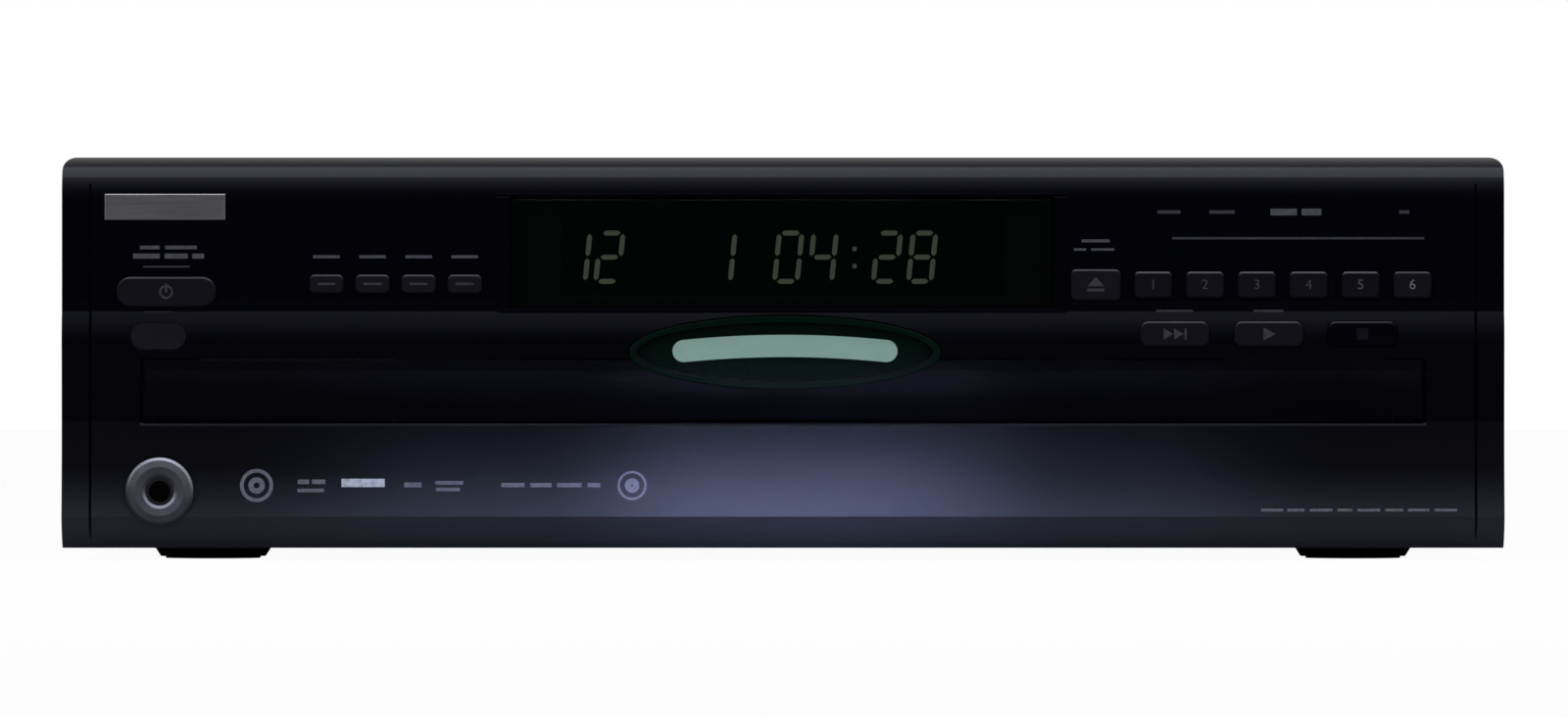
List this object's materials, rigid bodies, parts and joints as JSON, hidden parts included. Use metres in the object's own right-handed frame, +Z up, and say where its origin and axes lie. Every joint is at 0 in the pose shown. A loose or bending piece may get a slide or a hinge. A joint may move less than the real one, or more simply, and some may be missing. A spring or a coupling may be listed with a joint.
{
  "type": "multi disc cd changer",
  "caption": "Flat black carousel disc player with a wide front drawer, a display window, control keys and an oval light on the drawer front.",
  "frame": {"origin": "on the table under the middle of the box", "axes": "+X to the right seen from the front, -Y out of the front, +Z up"},
  "size_m": [0.435, 0.4244, 0.1215],
  "materials": {
    "panel_plastic": "black moulded plastic with a satin gloss",
    "black_steel": "black textured paint on folded sheet",
    "plated_steel": "zinc plated sheet",
    "smoked_window": "smoked clear plastic",
    "display_glass": "dark glass tube with lit segments",
    "sensor_plastic": "dark red-black plastic",
    "circuit_board": "green board",
    "socket_plastic": "black moulded plastic",
    "laminated_core": "stacked steel sheets",
    "coil_wrap": "yellow tape wrap",
    "can_sleeve": "dark blue sleeve",
    "sink_aluminium": "bare extrusion",
    "foot_plastic": "black moulded plastic",
    "pad_rubber": "soft black pad",
    "screw_steel": "blackened steel",
    "motor_can": "pressed steel can",
    "belt_rubber": "flat black belt",
    "grey_plastic": "dark grey moulding",
    "dish_plastic": "dark green-black plastic",
    "mint_lens": "milky lit plastic",
    "gear_plastic": "natural white plastic",
    "tray_plastic": "black moulding",
    "cap_plastic": "dark grey cap",
    "pulley_brass": "turned brass",
    "black_moulding": "black moulding",
    "rod_steel": "ground steel",
    "sled_metal": "die-cast sled",
    "lens_glass": "coated lens",
    "key_plastic": "dark key caps"
  },
  "bodies": {
    "case": {"front_panel": "panel_plastic", "top_cover": "black_steel", "base_pan": "plated_steel", "rear_panel": "black_steel", "display_window": "smoked_window", "display_tube": "display_glass", "sensor_window": "sensor_plastic", "front_board": "circuit_board", "phones_socket": "socket_plastic", "line_sockets": "socket_plastic", "mains_inlet": "socket_plastic", "transformer_core": "laminated_core", "transformer_coil": "coil_wrap", "main_board": "circuit_board", "capacitors": "can_sleeve", "heat_sink": "sink_aluminium", "feet": "foot_plastic", "foot_pads": "pad_rubber", "cover_screws": "screw_steel", "drive_bracket": "plated_steel", "loading_motor": "motor_can", "drive_belt": "belt_rubber", "drawer_rails": "plated_steel", "clamp_bridge": "plated_steel", "pickup_stand": "grey_plastic"},
    "drawer": {"drawer_frame": "grey_plastic", "drawer_front": "panel_plastic", "oval_dish": "dish_plastic", "crescent_light": "mint_lens", "carousel_motor": "motor_can", "carousel_glides": "gear_plastic"},
    "carousel": {"carousel": "tray_plastic", "hub_cap": "cap_plastic"},
    "carousel_pinion": {"carousel_pinion": "gear_plastic"},
    "drawer_gear": {"drawer_gear": "gear_plastic"},
    "pulley_gear": {"pulley_gear": "gear_plastic"},
    "motor_pulley": {"motor_pulley": "pulley_brass"},
    "pickup": {"pickup_frame": "black_moulding", "guide_rods": "rod_steel", "pickup_motors": "motor_can"},
    "disc_table": {"disc_table": "black_moulding"},
    "sled": {"pickup_sled": "sled_metal", "pickup_lens": "lens_glass"},
    "sled_gear": {"sled_gear": "gear_plastic"},
    "clamp_puck": {"clamp_puck": "black_moulding"},
    "standby_button": {"standby_button": "key_plastic"},
    "open_button": {"open_button": "key_plastic"},
    "skip_button": {"skip_button": "key_plastic"},
    "play_button": {"play_button": "key_plastic"},
    "stop_button": {"stop_button": "key_plastic"},
    "mode_button_1": {"mode_button_1": "key_plastic"},
    "mode_button_2": {"mode_button_2": "key_plastic"},
    "mode_button_3": {"mode_button_3": "key_plastic"},
    "mode_button_4": {"mode_button_4": "key_plastic"},
    "disc_button_1": {"disc_button_1": "key_plastic"},
    "disc_button_2": {"disc_button_2": "key_plastic"},
    "disc_button_3": {"disc_button_3": "key_plastic"},
    "disc_button_4": {"disc_button_4": "key_plastic"},
    "disc_button_5": {"disc_button_5": "key_plastic"},
    "disc_button_6": {"disc_button_6": "key_plastic"}
  },
  "joints": [
    {"name": "drawer_slide", "type": "slide", "parent": "case", "child": "drawer", "axis": [0, -1, 0], "range_m": [0, 0.24]},
    {"name": "carousel_spin", "type": "hinge", "parent": "drawer", "child": "carousel", "pos_m": [0, -0.0154, 0.0559], "axis": [0, 0, 1], "continuous": true},
    {"name": "carousel_pinion_spin", "type": "hinge", "parent": "drawer", "child": "carousel_pinion", "pos_m": [0, -0.0514, 0.0535], "axis": [0, 0, 1], "continuous": true},
    {"name": "drawer_gear_turn", "type": "hinge", "parent": "case", "child": "drawer_gear", "pos_m": [0.1994, -0.175, 0.04], "axis": [0, 0, 1], "range_deg": [0, 1529]},
    {"name": "pulley_gear_turn", "type": "hinge", "parent": "case", "child": "pulley_gear", "pos_m": [0.183, -0.16644, 0.035], "axis": [0, 0, -1], "range_deg": [0, 3184]},
    {"name": "motor_pulley_turn", "type": "hinge", "parent": "case", "child": "motor_pulley", "pos_m": [0.14, -0.16644, 0.032], "axis": [0, 0, -1], "range_deg": [0, 11142]},
    {"name": "pickup_lift", "type": "hinge", "parent": "case", "child": "pickup", "pos_m": [0, 0.0152, 0.038], "axis": [1, 0, 0], "range_deg": [0, 10]},
    {"name": "disc_table_spin", "type": "hinge", "parent": "pickup", "child": "disc_table", "pos_m": [0, 0.10789, 0.03384], "axis": [0, 0.1736, 0.9848], "continuous": true},
    {"name": "sled_slide", "type": "slide", "parent": "pickup", "child": "sled", "axis": [0, -0.9848, 0.1736], "range_m": [0, 0.034]},
    {"name": "sled_gear_turn", "type": "hinge", "parent": "pickup", "child": "sled_gear", "pos_m": [0.0186, 0.04697, 0.03392], "axis": [0, 0.1736, 0.9848], "range_deg": [0, 326]},
    {"name": "clamp_spin", "type": "hinge", "parent": "case", "child": "clamp_puck", "pos_m": [0, 0.1072, 0.06], "axis": [0, 0, 1], "continuous": true},
    {"name": "standby_button_press", "type": "slide", "parent": "case", "child": "standby_button", "axis": [0, 1, 0], "range_m": [0, 0.0008], "stiffness_N_per_m": 600},
    {"name": "open_button_press", "type": "slide", "parent": "case", "child": "open_button", "axis": [0, 1, 0], "range_m": [0, 0.0008], "stiffness_N_per_m": 600},
    {"name": "skip_button_press", "type": "slide", "parent": "case", "child": "skip_button", "axis": [0, 1, 0], "range_m": [0, 0.0008], "stiffness_N_per_m": 600},
    {"name": "play_button_press", "type": "slide", "parent": "case", "child": "play_button", "axis": [0, 1, 0], "range_m": [0, 0.0008], "stiffness_N_per_m": 600},
    {"name": "stop_button_press", "type": "slide", "parent": "case", "child": "stop_button", "axis": [0, 1, 0], "range_m": [0, 0.0008], "stiffness_N_per_m": 600},
    {"name": "mode_button_1_press", "type": "slide", "parent": "case", "child": "mode_button_1", "axis": [0, 1, 0], "range_m": [0, 0.0008], "stiffness_N_per_m": 600},
    {"name": "mode_button_2_press", "type": "slide", "parent": "case", "child": "mode_button_2", "axis": [0, 1, 0], "range_m": [0, 0.0008], "stiffness_N_per_m": 600},
    {"name": "mode_button_3_press", "type": "slide", "parent": "case", "child": "mode_button_3", "axis": [0, 1, 0], "range_m": [0, 0.0008], "stiffness_N_per_m": 600},
    {"name": "mode_button_4_press", "type": "slide", "parent": "case", "child": "mode_button_4", "axis": [0, 1, 0], "range_m": [0, 0.0008], "stiffness_N_per_m": 600},
    {"name": "disc_button_1_press", "type": "slide", "parent": "case", "child": "disc_button_1", "axis": [0, 1, 0], "range_m": [0, 0.0008], "stiffness_N_per_m": 600},
    {"name": "disc_button_2_press", "type": "slide", "parent": "case", "child": "disc_button_2", "axis": [0, 1, 0], "range_m": [0, 0.0008], "stiffness_N_per_m": 600},
    {"name": "disc_button_3_press", "type": "slide", "parent": "case", "child": "disc_button_3", "axis": [0, 1, 0], "range_m": [0, 0.0008], "stiffness_N_per_m": 600},
    {"name": "disc_button_4_press", "type": "slide", "parent": "case", "child": "disc_button_4", "axis": [0, 1, 0], "range_m": [0, 0.0008], "stiffness_N_per_m": 600},
    {"name": "disc_button_5_press", "type": "slide", "parent": "case", "child": "disc_button_5", "axis": [0, 1, 0], "range_m": [0, 0.0008], "stiffness_N_per_m": 600},
    {"name": "disc_button_6_press", "type": "slide", "parent": "case", "child": "disc_button_6", "axis": [0, 1, 0], "range_m": [0, 0.0008], "stiffness_N_per_m": 600}
  ],
  "couplings": [
    {"joint": "carousel_pinion_spin", "follows": "carousel_spin", "ratio": 4},
    {"joint": "drawer_gear_turn", "follows": "drawer_slide", "rad_per_m": 111.11},
    {"joint": "pulley_gear_turn", "follows": "drawer_slide", "rad_per_m": 231.48},
    {"joint": "motor_pulley_turn", "follows": "drawer_slide", "rad_per_m": 810.19},
    {"joint": "sled_gear_turn", "follows": "sled_slide", "rad_per_m": 166.67}
  ]
}
